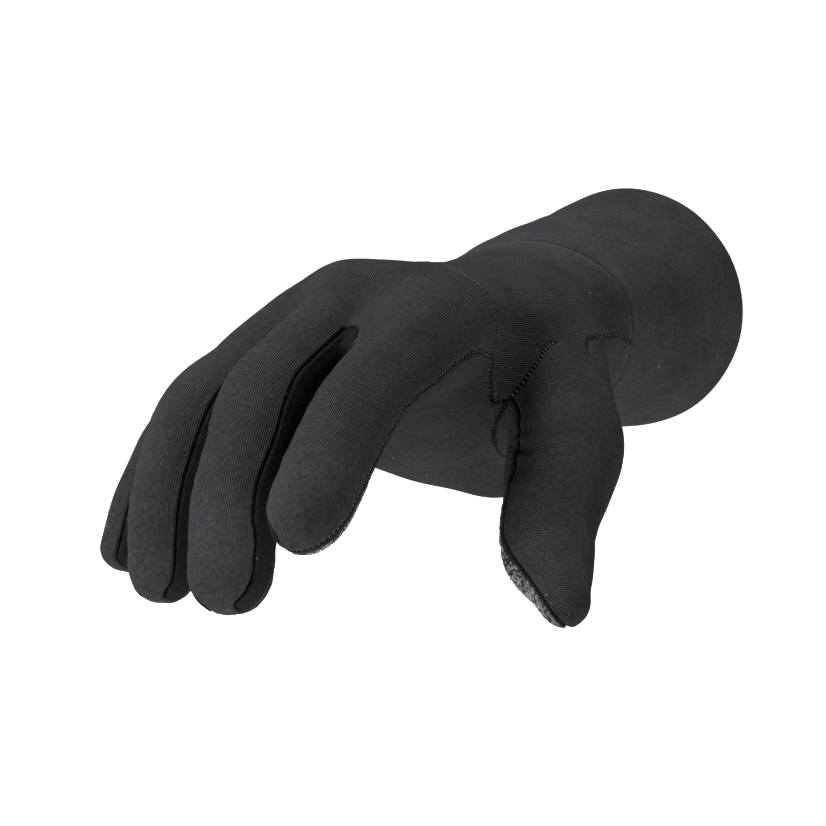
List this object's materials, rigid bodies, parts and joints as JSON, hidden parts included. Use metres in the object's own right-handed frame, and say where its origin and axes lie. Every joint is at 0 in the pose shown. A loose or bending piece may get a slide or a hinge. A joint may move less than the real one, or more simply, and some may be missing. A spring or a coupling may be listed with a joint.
{
  "type": "glove liner",
  "caption": "Knitted glove liner for a right hand with a long flared gauntlet, sewn from panels, held in the form that it has when worn.",
  "frame": {"origin": "centre of the gauntlet's mouth, where the hand goes in", "axes": "+Y out of the gauntlet's mouth along the forearm, -Y to the fingertips, +Z out of the back of the hand, +X to the thumb"},
  "size_m": [0.1245, 0.2726, 0.1027],
  "materials": {
    "knit": "matt black fine-ribbed stretch knit",
    "print": "thin worn grey grip print with a scale pattern"
  },
  "bodies": {
    "root": {"back_panel": "knit", "palm_panel": "knit", "fourchette_index_middle": "knit", "fourchette_middle_ring": "knit", "fourchette_ring_little": "knit", "index_back": "knit", "index_front": "knit", "middle_back": "knit", "middle_front": "knit", "ring_back": "knit", "ring_front": "knit", "little_back": "knit", "little_front": "knit", "thumb_back": "knit", "thumb_palm": "knit", "wrist_back": "knit", "wrist_palm": "knit", "gauntlet": "knit", "index_grip": "print", "thumb_grip": "print"}
  },
  "joints": []
}
